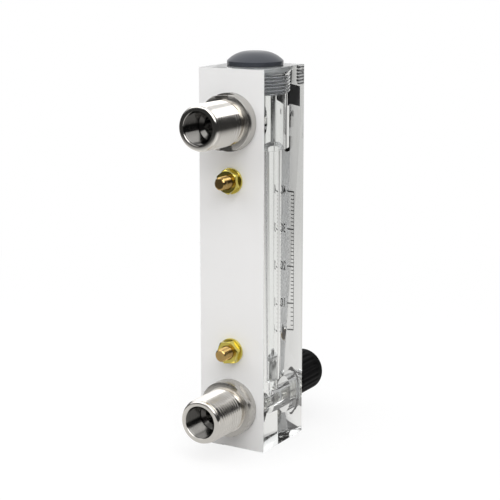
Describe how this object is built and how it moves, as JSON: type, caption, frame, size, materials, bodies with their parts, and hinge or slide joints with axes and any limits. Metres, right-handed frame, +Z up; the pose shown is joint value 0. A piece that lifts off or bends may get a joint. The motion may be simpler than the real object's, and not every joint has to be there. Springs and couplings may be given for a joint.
{
  "type": "rotameter",
  "caption": "Panel-mount rotameter: clear acrylic block with a tapered tube and float, needle valve knob, threaded pipe fittings and mounting studs on a white back.",
  "frame": {"origin": "on the metering tube's axis, at the block's bottom face", "axes": "+Z up along the metering tube, +Y out of the back towards the pipe fittings, -Y towards the scale and knob"},
  "size_m": [0.034, 0.101, 0.1843],
  "materials": {
    "clear_acrylic": "polished clear acrylic",
    "white_film": "satin white",
    "plug_plastic": "satin slate grey",
    "seal_rubber": "matte black",
    "stainless": "turned and polished",
    "float_steel": "polished",
    "brass": "bright turned",
    "knob_plastic": "satin black",
    "screw_steel": "blackened"
  },
  "bodies": {
    "housing": {"acrylic_body": "clear_acrylic", "white_backing": "white_film", "top_plug": "plug_plastic", "top_plug_oring": "seal_rubber", "float_stop": "stainless", "outlet_fitting": "stainless", "outlet_oring": "seal_rubber", "inlet_fitting": "stainless", "inlet_oring": "seal_rubber", "upper_stud": "brass", "upper_stud_washer": "brass", "upper_stud_nut": "brass", "lower_stud": "brass", "lower_stud_washer": "brass", "lower_stud_nut": "brass", "valve_bonnet": "brass", "bonnet_oring": "seal_rubber"},
    "float": {"metering_float": "float_steel"},
    "valve_spindle": {"valve_stem": "brass", "stem_oring": "seal_rubber"},
    "knob": {"valve_knob": "knob_plastic", "knob_set_screw": "screw_steel"}
  },
  "joints": [
    {"name": "float_rise", "type": "slide", "parent": "housing", "child": "float", "axis": [0, 0, 1], "range_m": [0, 0.0965]},
    {"name": "spindle_travel", "type": "slide", "parent": "housing", "child": "valve_spindle", "axis": [0, -1, 0], "range_m": [0, 0.0035]},
    {"name": "knob_turn", "type": "hinge", "parent": "valve_spindle", "child": "knob", "pos_m": [0, -0.04, 0.0202], "axis": [0, -1, 0], "range_deg": [0, 1260]}
  ],
  "couplings": [
    {"joint": "knob_turn", "follows": "spindle_travel", "rad_per_m": 6283.1}
  ]
}
